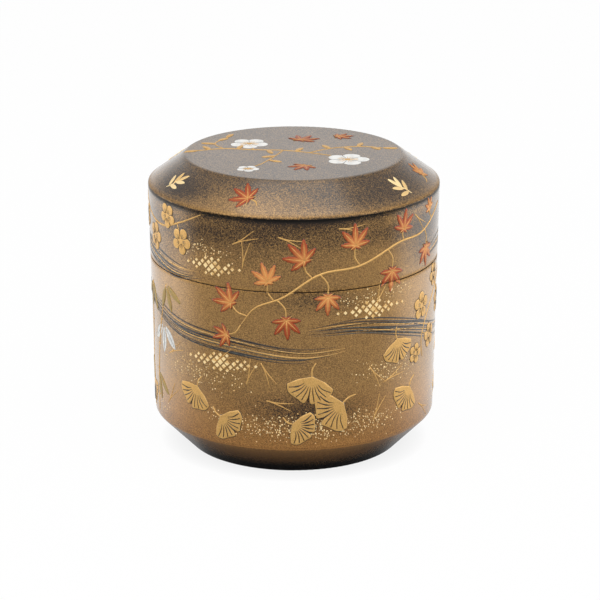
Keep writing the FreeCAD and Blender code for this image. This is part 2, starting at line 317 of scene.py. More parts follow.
def turned(lay, middle, turn):
    """A patch drawn about another middle, its y axis turned clockwise."""
    along = polar(turn, 1)
    across = Vector((along.y, -along.x))
    return lambda x, y: lay(*(middle + across * x + along * y))


def polar(direction, reach):
    """A point at a direction in degrees, clockwise from up, and a distance."""
    angle = math.radians(direction)
    return Vector((reach * math.sin(angle), reach * math.cos(angle)))


def nearest(path, spot):
    """The point of a path that is nearest to a spot."""
    return min(path, key=lambda point: (point - spot).length)


def smooth(points, steps):
    """A smooth line through points, with some steps from each one to the next."""
    points = [Vector(point) for point in points]
    padded = [points[0] * 2 - points[1], *points, points[-1] * 2 - points[-2]]
    line = []
    for a, b, c, d in zip(padded, padded[1:], padded[2:], padded[3:]):
        for step in range(steps):
            t = step / steps
            square = (a * 2 - b * 5 + c * 4 - d) * t**2
            cube = (b * 3 - a - c * 3 + d) * t**3
            line.append((b * 2 + (c - a) * t + square + cube) / 2)
    return line + [points[-1]]


def grown(outline, by):
    """An outline pushed away from its origin."""
    return [point + point.normalized() * by for point in outline]


# Sections of a leaf or a flat form, as shares of its outline and its rise, from the edge in
LEAF_FORM = ((1.0, -0.35), (0.985, 0.4), (0.93, 0.74), (0.78, 0.92), (0.45, 1.0))
FLAT_FORM = ((1.0, -0.6), (0.97, 1.0))
# Sections of a line, as shares of its half width and its rise
ROUND_LINE = ((-1.0, -0.4), (0.0, 1.0), (1.0, -0.4))
FLAT_LINE = ((-1.0, -0.6), (-0.75, 1.0), (0.75, 1.0), (1.0, -0.6))
RIB_RISE = 0.06  # of gold ribs over the leaf that bears them
VEIN_RISE = 0.05  # of dark veins over the leaf or petal that bears them


class Drawing:
    """Raised forms that share a finish, drawn on the closed caddy and then parted at the seam."""

    def __init__(self, name, maker):
        self.name = name
        self.maker = maker  # of the finish
        self.mesh = bmesh.new()
        self.tint = self.mesh.verts.layers.float.new("tint")

    def vert(self, lay, point, lift, tint):
        """A vertex over a point of the drawing."""
        spot, normal = lay(point.x, point.y)
        vert = self.mesh.verts.new(spot + normal * lift)
        vert[self.tint] = tint
        return vert

    def band(self, first, second):
        """Faces between two closed loops of vertices."""
        for index in range(len(first)):
            self.mesh.faces.new((first[index - 1], first[index], second[index], second[index - 1]))

    def relief(self, lay, outline, rise, form=LEAF_FORM):
        """A raised form, closed underneath, over an outline that can be seen whole from its origin."""
        loops = []
        for share, lift in form:
            loops.append([self.vert(lay, point * share, rise * lift, share) for point in outline])
        for low, high in zip(loops, loops[1:]):
            self.band(low, high)
        for loop, (_, lift) in ((loops[-1], form[-1]), (loops[0][::-1], form[0])):
            heart = self.vert(lay, Vector((0, 0)), rise * lift, 0)
            for index in range(len(loop)):
                self.mesh.faces.new((loop[index - 1], loop[index], heart))

    def ribbon(self, lay, path, width, rise, base=0.0, ends=(0.6, 0.25), section=ROUND_LINE):
        """A raised line, closed underneath, that narrows to shares of its width at its ends."""
        last = len(path) - 1
        loops = []
        for index, point in enumerate(path):
            along = (path[min(index + 1, last)] - path[max(index - 1, 0)]).normalized()
            side = Vector((-along.y, along.x))
            share = index / last
            end = ends[0] if share < 0.5 else ends[1]
            half = width / 2 * (1 - (1 - end) * (2 * share - 1) ** 2)
            loops.append([
                self.vert(lay, point + side * half * across, base + rise * lift, share)
                for across, lift in section
            ])
        for first, second in zip(loops, loops[1:]):
            self.band(first, second)
        self.mesh.faces.new(loops[0][::-1])
        self.mesh.faces.new(loops[-1])


def draw_leaf(leaves, shade, lay, outline, sizes):
    """A raised leaf, and the dark line left round it."""
    shade.relief(lay, grown(outline, sizes.outline), sizes.shade_rise, FLAT_FORM)
    leaves.relief(lay, outline, sizes.leaf_rise)


def part_at_seam(*drawings):
    """Makes the lid's and the cup's share of each drawing, riding on its body."""
    for drawing in drawings:
        for body, above in (("lid", True), ("cup", False)):
            share = drawing.mesh.copy()
            bmesh.ops.bisect_plane(
                share, geom=[*share.verts, *share.edges, *share.faces], plane_co=UP * SEAM, plane_no=UP,
                clear_inner=above, clear_outer=not above,
            )
            if share.faces:
                bmesh.ops.holes_fill(share, edges=[edge for edge in share.edges if edge.is_boundary])
                bmesh.ops.recalc_face_normals(share, faces=share.faces)
                add_piece(f"{body}_{drawing.name}", share, finish(drawing.maker), body)
            share.free()
        drawing.mesh.free()


def add_piece(name, shape, material, body):
    """Makes a piece from a shape drawn in millimetres."""
    for face in shape.faces:
        face.smooth = True
    bmesh.ops.scale(shape, vec=(MM,) * 3, verts=shape.verts)
    mesh = bpy.data.meshes.new(name)
    shape.to_mesh(mesh)
    mesh.materials.append(material)
    piece = bpy.data.objects.new(name, mesh)
    bpy.context.scene.collection.objects.link(piece)
    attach(piece, body)


def solids_of(node):
    """The separate solids of a CAD node, each as its points in millimetres."""
    shape = bmesh.new()
    shape.from_mesh(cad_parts[node].data)
    bmesh.ops.remove_doubles(shape, verts=shape.verts, dist=0.001 * MM)
    solids = []
    seen = set()
    for start in shape.verts:
        if start in seen:
            continue
        seen.add(start)
        reached = [start]
        for vert in reached:
            for edge in vert.link_edges:
                other = edge.other_vert(vert)
                if other not in seen:
                    seen.add(other)
                    reached.append(other)
        solids.append([vert.co / MM for vert in reached])
    shape.free()
    return solids


# Leaf and blossom outlines, each about its own origin

PETALS = 5
PETAL_TURN = 360 // PETALS  # from one petal to the next
MAPLE_LOBES = ((-126, 0.42), (-84, 0.72), (-41, 0.93), (0, 1.0), (41, 0.93), (84, 0.72), (126, 0.42))
MAPLE_NOTCH = 0.34
MAPLE_STEPS = 6  # from the notch beside a lobe to its tip
MAPLE_TOOTH = 0.035
MAPLE_BACK = 44  # from an outermost lobe to where a further one would point
GINKGO_SPREAD = 69  # from the middle of a ginkgo fan to its side
LANCE_STEPS = 28
ROUND_STEPS = 20


def maple_outline(length):
    """A seven-lobed maple leaf with pointed, finely toothed lobes."""
    points = [polar(180, length * 0.13)]
    for index, (direction, reach) in enumerate(MAPLE_LOBES):
        before = MAPLE_LOBES[index - 1][0] if index else direction - MAPLE_BACK
        after = MAPLE_LOBES[index + 1][0] if index + 1 < len(MAPLE_LOBES) else direction + MAPLE_BACK
        for step in range(-MAPLE_STEPS, MAPLE_STEPS):
            swing = step / MAPLE_STEPS
            notch = before if step < 0 else after
            tooth = MAPLE_TOOTH * (1 if step % 2 else -1) if 0 < abs(step) < MAPLE_STEPS else 0
            share = MAPLE_NOTCH * min(1, reach + 0.2) + (reach - MAPLE_NOTCH) * (1 - abs(swing)) ** 0.8
            points.append(polar(direction + (notch - direction) / 2 * abs(swing), length * (share + tooth)))
    return points


def ginkgo_outline(length):
    """A fan-shaped ginkgo leaf with a wavy edge and a cleft."""
    points = []
    for direction in range(-GINKGO_SPREAD, GINKGO_SPREAD + 1, 3):
        wave = 0.035 * math.cos(math.radians(direction * 7)) - 0.05 * abs(direction) / GINKGO_SPREAD
        cleft = 0.34 * math.exp(-((direction / 4.5) ** 2))
        points.append(polar(direction, length * (0.96 + wave - cleft)))
    return points + [polar(80, length * 0.5), polar(100, length * 0.16), polar(180, length * 0.09),
                     polar(260, length * 0.16), polar(280, length * 0.5)]


def lance_outline(length, width):
    """A slender leaf, pointed at both ends, about its middle."""
    points = []
    for step in range(LANCE_STEPS):
        angle = 2 * math.pi * step / LANCE_STEPS
        across = math.copysign(abs(math.sin(angle)) ** 1.35, math.sin(angle))
        points.append(Vector((width / 2 * across, length / 2 * math.cos(angle))))
    return points


def round_outline(radius):
    """A circle."""
    return [polar(360 * step / ROUND_STEPS, radius) for step in range(ROUND_STEPS)]


# Materials

def add(tree, kind, sockets=None, stops=(), **settings):
    """Adds a shader node. Sockets take values, or links from a node's first output or from an output."""
    made = tree.nodes.new("ShaderNode" + kind)
    for field, value in settings.items():
        setattr(made, field, value)
    for key, value in (sockets or {}).items():
        if isinstance(value, bpy.types.Node):
            value = value.outputs[0]
        if isinstance(value, bpy.types.NodeSocket):
            tree.links.new(value, made.inputs[key])
        else:
            made.inputs[key].default_value = value
    for index, (position, value) in enumerate(stops):
        elements = made.color_ramp.elements
        stop = elements[index] if index < 2 else elements.new(position)
        stop.position = position
        stop.color = value
    return made


def blank(name):
    """A new material without nodes, and its tree."""
    material = bpy.data.materials.new(name)
    material.use_nodes = True
    material.node_tree.nodes.clear()
    return material, material.node_tree


def cover(material, sockets):
    """Gives a material its surface."""
    shader = add(material.node_tree, "BsdfPrincipled", sockets)
    add(material.node_tree, "OutputMaterial", {"Surface": shader})
    return material


def in_millimetres(tree):
    """The place of the shaded point in the caddy's frame, in millimetres."""
    place = add(tree, "TexCoord").outputs["Object"]
    return add(tree, "VectorMath", {0: place, 1: (1 / MM,) * 3}, operation="MULTIPLY")


def grey(value):
    """A share as a grey."""
    return (value, value, value, 1.0)


# Painted light in the share of dust by level: it falls to none towards the base and in a band just under the
# shoulder as painted shade, and peaks along the foot's edge, at 0.1175, as a painted highlight.
DUST_AND_SHADE_BY_LEVEL = (  # level, as a share of the caddy's height, and the share of gold dust there
    (0.0, 0.0), (0.1, 0.14), (0.1155, 0.3), (0.1175, 0.9), (0.12, 0.62), (0.3, 0.66), (0.58, 0.72),
    (0.68, 0.67), (0.79, 0.46), (0.85, 0.36), (0.875, 0.22), (0.896, 0.0), (0.9045, 0.0), (0.9075, 0.6),
    (0.96, 0.4), (0.985, 0.32), (1.0, 0.34),
)
# The two patches at 65.4 mm take dust away from the sides of the lid's bevel as painted shade.
DUST_AND_SHADE_DRIFTS = (  # more or less gold dust, or painted shade: bearing, height, half width, half height, change of share
    (38, 52.0, 16, 7, 0.12), (-52, 42.5, 26, 6, 0.22), (8, 44.0, 20, 6, -0.3), (52, 42.0, 20, 7, 0.2),
    (2, 30.0, 18, 8, -0.1), (-150, 46.0, 30, 8, 0.25), (160, 30.0, 26, 9, -0.18), (112, 50.0, 24, 7, 0.3),
    (-110, 28.0, 26, 9, -0.16), (-34, 58.0, 26, 6, -0.1), (4, 17.0, 24, 9, -0.36), (-58, 17.0, 18, 9, 0.14),
    (58, 17.0, 18, 9, 0.14), (-60, 65.4, 18, 4.6, -0.36), (44, 65.4, 34, 4.6, -0.22),
    (62, 54.0, 18, 9, -0.22), (-58, 61.4, 34, 3.4, 0.34), (58, 61.4, 34, 3.4, 0.34),
)
DUST_SOFTNESS = 0.6  # how much a grain may be half covered
DUST_METALLIC = 0.7  # of grains that lie open
CLOUD_WIDTH = 24.0
CLOUD_HEIGHT = 7.0
CLOUD_CHANGE = 0.36  # of the share of dust
# Fades, as sockets of a Map Range node: between the values at 1 and 2 the share goes from 3 to 4, or 0 to 1
# Painted shade in the seam's groove: no dust close to the seam.
SHADE_AT_SEAM = {1: 0.06, 2: 0.2}  # by the distance from the seam
COAT_AT_EDGES = {1: 0.2, 2: 1.0, 3: 0.1, 4: 1.0}  # by the distance from the seam or the shoulder
COAT_ON_TOP = {1: 0.985, 2: 0.997, 3: 1.0, 4: 0.76}  # by level
RED_ABOVE_FOOT = {1: 0.12, 2: 0.34, 3: 0.6, 4: 0.0}  # by level


def dust_and_shade_share(tree, place, level, from_seam):
    """How much of the lacquer is covered by gold dust, less of it as painted shade at the foot, under the
    shoulder, at the seam and on the sides of the lid's bevel, and more as a painted highlight along the
    foot's edge.
    """
    share = add(tree, "ValToRGB", {0: level}, stops=[(stop, grey(dust)) for stop, dust in DUST_AND_SHADE_BY_LEVEL])
    stretch = (1 / CLOUD_WIDTH, 1 / CLOUD_WIDTH, 1 / CLOUD_HEIGHT)
    drifting = add(tree, "VectorMath", {0: place, 1: stretch}, operation="MULTIPLY")
    clouds = add(tree, "TexNoise", {"Vector": drifting, "Scale": 1.0, "Detail": 3.0})
    clouds = add(tree, "Math", {0: clouds, 1: 0.5}, operation="SUBTRACT")
    share = add(tree, "Math", {0: clouds, 1: CLOUD_CHANGE, 2: share}, operation="MULTIPLY_ADD")
    for bearing, height, half_width, half_height, change in DUST_AND_SHADE_DRIFTS:
        middle, _ = wall_sheet(*wall_point(bearing, height))
        offset = add(tree, "VectorMath", {0: place, 1: middle}, operation="SUBTRACT")
        stretch = (1 / half_width, 1 / half_width, 1 / half_height)
        offset = add(tree, "VectorMath", {0: offset, 1: stretch}, operation="MULTIPLY")
        reach = add(tree, "VectorMath", {0: offset}, operation="LENGTH").outputs["Value"]
        fade = add(tree, "MapRange", {0: reach, 1: 1.0, 2: 0.0}, interpolation_type="SMOOTHSTEP")
        share = add(tree, "Math", {0: fade, 1: change, 2: share}, operation="MULTIPLY_ADD")
    # Painted shade along the seam: the dust thins out to the dark ground close to it.
    kept = add(tree, "MapRange", {0: from_seam, **SHADE_AT_SEAM})
    return add(tree, "Math", {0: share, 1: kept}, operation="MULTIPLY")


def distance(tree, height, edge):
    """How far above or below an edge the shaded point is."""
    offset = add(tree, "Math", {0: height, 1: edge}, operation="SUBTRACT")
    return add(tree, "Math", {0: offset}, operation="ABSOLUTE")


def gold_dust_lacquer(colours, grain):
    """Gold dust sprinkled on wet brown-black lacquer and polished under a clear coat."""
    # Grains glint one by one, thick dust looks like matt gold and thin dust like charcoal. The foot is brown
    # lacquer with little dust, and the dust just above it is redder. Painted shade fades the foot to black
    # towards the base and darkens a band just under the shoulder, the seam and the sides of the lid's bevel,
    # and a painted highlight runs along the foot's edge. The clear coat turns white along the sides, where
    # it is seen edge on, and its IOR is above lacquer's usual 1.5 to match that. It is rubbed thin at the
    # shoulder and the seam, and a little on the lid's top.
    material, tree = blank("gold dust lacquer")
    place = in_millimetres(tree)
    grains = add(tree, "TexVoronoi", {"Vector": place, "Scale": 1 / grain})
    chance = add(tree, "SeparateColor", {0: grains.outputs["Color"]})
    height = add(tree, "SeparateXYZ", {0: place}).outputs["Z"]
    level = add(tree, "Math", {0: height, 1: HEIGHT}, operation="DIVIDE")
    from_seam = distance(tree, height, SEAM)
    from_shoulder = distance(tree, height, SHOULDER)
    share = dust_and_shade_share(tree, place, level, from_seam)
    spread = {0: share, 1: 1 + 2 * DUST_SOFTNESS, 2: -DUST_SOFTNESS}
    over = add(tree, "Math", spread, operation="MULTIPLY_ADD")
    over = add(tree, "Math", {0: over, 1: chance.outputs[0]}, operation="SUBTRACT")
    gold = add(tree, "MapRange", {0: over, 1: -DUST_SOFTNESS, 2: DUST_SOFTNESS})
    from_edge = add(tree, "Math", {0: from_seam, 1: from_shoulder}, operation="MINIMUM")
    coat = add(tree, "MapRange", {0: from_edge, **COAT_AT_EDGES})
    thinned = add(tree, "MapRange", {0: level, **COAT_ON_TOP})
    coat = add(tree, "Math", {0: coat, 1: thinned}, operation="MULTIPLY")
    # Painted shade in the ground: the foot fades from brown to black towards the base, and a black band just
    # under the shoulder is a painted shadow.
    foot = ((0.026, colours.black), (0.1165, colours.foot_brown), (0.119, colours.dark_ground))
    shadow_under_shoulder = ((0.885, colours.dark_ground), (0.897, colours.black))
    shoulder = ((0.9045, colours.black), (0.907, colours.dark_ground))
    ground = add(tree, "ValToRGB", {0: level}, stops=foot + shadow_under_shoulder + shoulder)
    tones = ((0.0, colours.deep_dust), (1.0, colours.pale_dust))
    tone = add(tree, "ValToRGB", {0: chance.outputs[1]}, stops=tones)
    redder = add(tree, "MapRange", {0: level, **RED_ABOVE_FOOT})
    tone = add(tree, "Mix", {0: redder, 6: tone, 7: colours.red_dust}, data_type="RGBA").outputs[2]
    paint = add(tree, "Mix", {0: gold, 6: ground, 7: tone}, data_type="RGBA")
    metal = add(tree, "Math", {0: gold, 1: DUST_METALLIC}, operation="MULTIPLY")
    tilt = add(tree, "Bump", {"Height": chance.outputs[2], "Strength": 0.25, "Distance": 0.02 * MM})
    return cover(material, {
        "Base Color": paint.outputs[2], "Metallic": metal, "Roughness": 0.42, "Normal": tilt,
        "Specular IOR Level": 0.1, "Coat Weight": coat, "Coat Roughness": 0.16, "Coat IOR": 1.75,
    })


def black_lacquer(colours):
    """Black lacquer polished to a mirror."""
    # Nearly black, with a warm brown cast in faint clouds and a clear gloss that ripples a little.
    material, tree = blank("polished black lacquer")
    place = in_millimetres(tree)
    clouds = add(tree, "TexNoise", {"Vector": place, "Scale": 1 / 9.0, "Detail": 2.0})
    paint = add(tree, "ValToRGB", {0: clouds}, stops=((0.35, colours.black), (0.75, colours.ink)))
    ripple = add(tree, "TexNoise", {"Vector": place, "Scale": 1 / 2.5})
    ripple = add(tree, "Bump", {"Height": ripple, "Strength": 0.08, "Distance": 0.05 * MM})
    return cover(material, {
        "Base Color": paint, "Roughness": 0.16, "IOR": 1.52, "Normal": ripple,
        "Coat Weight": 0.6, "Coat Roughness": 0.05,
    })


def amber_flake_lacquer(colours):
    """Gold flakes sprinkled under clear amber lacquer."""
    # Flakes glow at different depths through the amber, so bright and dim ones lie side by side.
    material, tree = blank("amber lacquer over gold flakes")
    flakes = add(tree, "TexVoronoi", {"Vector": in_millimetres(tree), "Scale": 1 / 0.55})
    chance = add(tree, "SeparateColor", {0: flakes.outputs["Color"]})
    shown = add(tree, "MapRange", {0: chance.outputs[0], 1: 0.35, 2: 0.95})
    paint = add(tree, "Mix", {0: shown, 6: colours.amber, 7: colours.flake}, data_type="RGBA")
    tilt = add(tree, "Bump", {"Height": chance.outputs[1], "Strength": 0.3, "Distance": 0.04 * MM})
    return cover(material, {
        "Base Color": paint.outputs[2], "Metallic": shown, "Roughness": 0.38, "Normal": tilt,
        "Coat Weight": 1.0, "Coat Roughness": 0.06, "Coat IOR": 1.52,
    })


def turned_wood(colours):
    """Hard even wood turned on a lathe."""
    # Rings about 2 mm apart, and fine pores that catch the light.
    material, tree = blank("turned zelkova")
    place = in_millimetres(tree)
    waves = {"Vector": place, "Scale": 0.16, "Distortion": 2.5, "Detail": 3.0}
    rings = add(tree, "TexWave", waves, bands_direction="X")
    paint = add(tree, "ValToRGB", {0: rings}, stops=((0.0, colours.dark_wood), (1.0, colours.wood)))
    pores = add(tree, "TexNoise", {"Vector": place, "Scale": 1 / 0.3})
    pores = add(tree, "Bump", {"Height": pores, "Strength": 0.2, "Distance": 0.05 * MM})
    return cover(material, {"Base Color": paint, "Roughness": 0.6, "Normal": pores})


def dusted(name, thick, thin, grain, sockets):
    """A drawing sprinkled with fine metal dust, thicker and thinner from place to place."""
    material, tree = blank(name)
    dust = add(tree, "TexNoise", {"Vector": in_millimetres(tree), "Scale": 1 / grain, "Detail": 2.0})
    paint = add(tree, "ValToRGB", {0: dust}, stops=((0.3, thin), (0.62, thick)))
    tilt = add(tree, "Bump", {"Height": dust, "Strength": 0.12, "Distance": 0.02 * MM})
    return cover(material, {"Base Color": paint, "Normal": tilt, **sockets})


def raised_gold(colours):
    """Gold dust burnished over raised lacquer."""
    # Satin gold, a little browner where the dust is thin.
    sockets = {"Metallic": 0.5, "Roughness": 0.42}
    return dusted("burnished gold dust", colours.raised_gold, colours.shaded_gold, 0.16, sockets)


def green_gold(colours):
    """Gold dust with silver in it, burnished."""
    # A dull olive beside the warm gold.
    sockets = {"Metallic": 0.6, "Roughness": 0.45}
    return dusted("burnished green gold dust", colours.green_gold, colours.shaded_gold, 0.16, sockets)


def drawn_black(colours):
    """Black lacquer drawn with a fine brush."""
    # Warm black with a slight gloss.
    sockets = {"Roughness": 0.35, "IOR": 1.52, "Coat Weight": 0.4}
    return dusted("brushed black lacquer", colours.ink, colours.black, 0.6, sockets)


def stream_grey(colours):
    """Dark lacquer lines dusted with silver."""
    # Blue-grey that breaks up into the black under it.
    sockets = {"Metallic": 0.3, "Roughness": 0.45}
    return dusted("silver-dusted dark lacquer", colours.stream, colours.ink, 0.45, sockets)


def satin_silver(colours):
    """Thin silver sheet, rubbed to a satin."""
    # Pale and soft, with faint paler rub marks.
    sockets = {"Metallic": 0.9, "Roughness": 0.36}
    return dusted("satin silver sheet", colours.silver, colours.shell, 0.5, sockets)


def maple_red(colours):
    """Red lacquer dusted with gold at the heart of each leaf."""
    # Orange gold in the middle runs out to red tips, and each leaf is a little redder or paler.
    material, tree = blank("gold-dusted red lacquer")
    tint = add(tree, "Attribute", attribute_name="tint").outputs["Fac"]
    dust = add(tree, "TexNoise", {"Vector": in_millimetres(tree), "Scale": 1 / 0.35, "Detail": 2.0})
    leaf = add(tree, "NewGeometry").outputs["Random Per Island"]
    leaf = add(tree, "Math", {0: leaf, 1: 0.8, 2: -0.7}, operation="MULTIPLY_ADD")
    dust = add(tree, "Math", {0: dust, 1: 0.7, 2: leaf}, operation="MULTIPLY_ADD")
    redness = add(tree, "Math", {0: tint, 1: dust}, operation="ADD")
    tones = ((0.25, colours.maple_heart), (1.0, colours.maple_tip))
    paint = add(tree, "ValToRGB", {0: redness}, stops=tones)
    tilt = add(tree, "Bump", {"Height": dust, "Strength": 0.2, "Distance": 0.03 * MM})
    return cover(material, {"Base Color": paint, "Metallic": 0.25, "Roughness": 0.42, "Normal": tilt})


def cut_gold(colours):
    """Thin gold sheet cut with a bamboo knife and burnished."""
    # Pale gold that is deeper in some pieces than in others, with fine marks of burnishing.
    material, tree = blank("burnished gold sheet")
    island = add(tree, "NewGeometry").outputs["Random Per Island"]
    paint = add(tree, "ValToRGB", {0: island}, stops=((0.0, colours.raised_gold), (0.5, colours.cut_gold)))
    marks = add(tree, "TexNoise", {"Vector": in_millimetres(tree), "Scale": 1 / 0.25})
    tilt = add(tree, "Bump", {"Height": marks, "Strength": 0.15, "Distance": 0.02 * MM})
    return cover(material, {"Base Color": paint, "Metallic": 0.36, "Roughness": 0.34, "Normal": tilt})


def white_shell(colours):
    """White shell ground flat and polished."""
    # Milky, with faint growth bands 2 to 3 mm apart.
    material, tree = blank("polished white shell")
    waves = {"Vector": in_millimetres(tree), "Scale": 0.12, "Distortion": 6.0, "Detail": 2.0}
    bands = add(tree, "TexWave", waves)
    paint = add(tree, "ValToRGB", {0: bands}, stops=((0.0, colours.shell_shade), (0.6, colours.shell)))
    return cover(material, {
        "Base Color": paint, "Roughness": 0.28, "IOR": 1.55, "Coat Weight": 0.5, "Coat Roughness": 0.1,
    })


FINISHES = {}  # made so far, by their makers


def finish(maker):
    """A material, made the first time it is asked for."""
    if maker not in FINISHES:
        FINISHES[maker] = maker(bpy.context.scene.caddy_colours)
    return FINISHES[maker]


def dress(material, *nodes):
    """Gives CAD nodes a finish."""
    for name in nodes:
        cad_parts[name].material_slots[0].material = material


# Operators

class CADDY_OT_lacquer(bpy.types.Operator):
    """Finish the lacquer coats and the wood under them"""

    bl_idname = "caddy.lacquer"
    bl_label = "Lacquer"

    def execute(self, context):
        colours = context.scene.caddy_colours
        dusty = gold_dust_lacquer(colours, drawing_sizes(context).grain)
        dress(dusty, "cup_wall_lacquer", "lid_outer_lacquer")
        dress(finish(black_lacquer), "cup_collar_lacquer", "cup_base_lacquer")
        dress(finish(amber_flake_lacquer), "cup_lining_lacquer", "lid_lining_lacquer")
        dress(finish(turned_wood), "cup_core", "lid_core")
        return {"FINISHED"}


class CADDY_OT_inlay(bpy.types.Operator):
    """Finish the cut gold, the silver leaves and the shell blossoms, and draw their ribs and stamens"""

    bl_idname = "caddy.inlay"
    bl_label = "Inlay"

    def execute(self, context):
        sizes = drawing_sizes(context)
        dress(finish(cut_gold), "cup_gold_squares", "lid_gold_squares")
        dress(finish(satin_silver), "cup_silver_leaves")
        dress(finish(white_shell), "lid_shell_blossoms")
        ribs = Drawing("inlay_ribs", drawn_black)
        stamens = Drawing("shell_stamens", raised_gold)
        thin = sizes.vein * 0.6
        for points in solids_of("cup_silver_leaves"):
            pairs = ((a, b) for a in points for b in points if a.z > b.z)
            ends = max(pairs, key=lambda pair: (pair[0] - pair[1]).length)
            foot, tip = [wall_point(math.degrees(math.atan2(end.x, -end.y)), end.z) for end in ends]
            rib = [foot.lerp(tip, share / 8) for share in range(1, 8)]
            ribs.ribbon(wall_sheet, rib, thin, sizes.shade_rise)
        for points in solids_of("lid_shell_blossoms"):
            middle = sum(points, Vector()) / len(points)
            far = max(points, key=lambda point: (point - middle).xy.length)
            radius = (far - middle).xy.length
            turn = math.degrees(math.atan2(far.x - middle.x, far.y - middle.y))
            lay = patch(top_sheet(middle.x, middle.y), turn)
            for petal in range(PETALS):
                between = (petal + 0.5) * PETAL_TURN
                path = smooth([polar(between, radius * reach) for reach in (0.2, 0.5, 0.78)], 3)
                ribs.ribbon(lay, path, thin, sizes.shade_rise)
                for swing in (-16, 0, 16):
                    bearing = petal * PETAL_TURN + swing
                    path = smooth([polar(bearing, radius * reach) for reach in (0.08, 0.3, 0.5)], 3)
                    stamens.ribbon(lay, path, thin * 0.8, sizes.shade_rise)
            stamens.relief(lay, round_outline(radius * 0.13), sizes.shade_rise * 3)
        part_at_seam(ribs, stamens)
        return {"FINISHED"}


STREAM_GAP = 0.34  # between neighbouring lines of a stream, at its widest
STREAM_WAVE = 0.3  # height of the waves in a line
STREAM_WAVES = 7  # radians of wave along a line


class CADDY_OT_stream(bpy.types.Operator):
    """Draw the lines of the flowing stream"""

    bl_idname = "caddy.stream"
    bl_label = "Stream"

    def execute(self, context):
        rise = drawing_sizes(context).shade_rise
        draw = random.Random(11)
        dark = Drawing("stream_dark", drawn_black)
        pale = Drawing("stream_pale", stream_grey)
        gold = Drawing("stream_gold", raised_gold)
        lines = (dark, pale, dark, pale, gold, dark, pale, dark, dark, gold, pale, dark, dark)
        for points in STREAMS:
            middle = wall_line(points, 14)
            for line, chosen in enumerate(lines):
                first = int(draw.uniform(0, 0.3) * len(middle))
                last = int(draw.uniform(0.68, 1.0) * len(middle))
                start = draw.uniform(0, 6.28)
                path = []
                for index in range(first, last):
                    along = index / len(middle)
                    swell = math.sin(math.pi * along) ** 0.5 * (line - len(lines) // 2) * STREAM_GAP
                    wave = STREAM_WAVE * math.sin(STREAM_WAVES * along + start)
                    path.append(middle[index] + Vector((0, swell + wave)))
                width = draw.uniform(0.2, 0.5)
                chosen.ribbon(wall_sheet, path, width, rise, ends=(0.1, 0.1), section=FLAT_LINE)
        part_at_seam(dark, pale, gold)
        return {"FINISHED"}


class CADDY_OT_maple(bpy.types.Operator):
    """Draw the maple sprays and the fallen maple leaves"""

    bl_idname = "caddy.maple"
    bl_label = "Maple"

    def execute(self, context):
        sizes = drawing_sizes(context)
        draw = random.Random(5)
        leaves = Drawing("maple_leaves", maple_red)
        ribs = Drawing("maple_ribs", raised_gold)
        shade = Drawing("maple_outlines", drawn_black)
        twigs = Drawing("maple_twigs", raised_gold)
        placed = []
        for branch, spots in MAPLE_SPRAYS:
            path = wall_line(branch, 10)
            twigs.ribbon(wall_sheet, path, sizes.line * 1.5, sizes.line_rise * 1.2, ends=(1.0, 0.3))
            for bearing, height, share in spots:
                heart = wall_point(bearing, height)
                root = nearest(path, heart)
                reach = heart - root
                bend = root.lerp(heart, 0.5) + Vector((-reach.y, reach.x)) * 0.16
                stalk = smooth([root, bend, heart], 6)
                twigs.ribbon(wall_sheet, stalk, sizes.line, sizes.line_rise, ends=(0.9, 0.6))
                turn = math.degrees(math.atan2(reach.x, reach.y)) + draw.uniform(-22, 22)
                placed.append((wall_patch(bearing, height, turn), share))
        for bearing, height, share, turn in FALLEN_MAPLE:
            lay = wall_patch(bearing, height, turn)
            stalk = smooth([(0, 0), (0.5, -1.8), (-0.1, -3.2)], 5)
            twigs.ribbon(lay, stalk, sizes.line, sizes.line_rise)
            placed.append((lay, share))
        for across, back, share, turn in TOP_MAPLE:
            placed.append((patch(top_sheet(across, back), turn), share))
        for lay, share in placed:
            length = sizes.maple * share
            draw_leaf(leaves, shade, lay, maple_outline(length), sizes)
            for direction, reach in MAPLE_LOBES:
                path = [polar(direction, length * reach * along) for along in (0.0, 0.3, 0.6, 0.84)]
                ribs.ribbon(lay, path, sizes.vein * 0.75, RIB_RISE, base=sizes.leaf_rise * 0.85)
        part_at_seam(shade, twigs, leaves, ribs)
        return {"FINISHED"}


class CADDY_OT_ginkgo(bpy.types.Operator):
    """Draw the gold ginkgo leaves with their dark veins"""

    bl_idname = "caddy.ginkgo"
    bl_label = "Ginkgo"

    def execute(self, context):
        sizes = drawing_sizes(context)
        leaves = Drawing("ginkgo_leaves", raised_gold)
        veins = Drawing("ginkgo_veins", drawn_black)
        for bearing, height, share, turn in GINKGO_LEAVES:
            length = sizes.ginkgo * share
            lay = wall_patch(bearing, height, turn)
            draw_leaf(leaves, veins, lay, ginkgo_outline(length), sizes)
            for direction in range(-60, 61, 15):
                bent = [polar(direction * 0.86, length * reach) for reach in (0.3, 0.55)]
                path = smooth(bent + [polar(direction, length * 0.86)], 4)
                veins.ribbon(lay, path, sizes.vein, VEIN_RISE, base=sizes.leaf_rise * 0.9, ends=(0.2, 0.6))
            stalk = smooth([(0, 0.1), (0.35, -length * 0.3), (-0.2, -length * 0.58)], 5)
            leaves.ribbon(lay, stalk, sizes.line * 1.1, sizes.line_rise, ends=(1.0, 0.7))
        part_at_seam(veins, leaves)
        return {"FINISHED"}


PLUM_LINES = ((-15, 0.2, 0.52), (0, 0.2, 0.58), (15, 0.2, 0.52), (36, 0.34, 0.8))  # swing, start, end


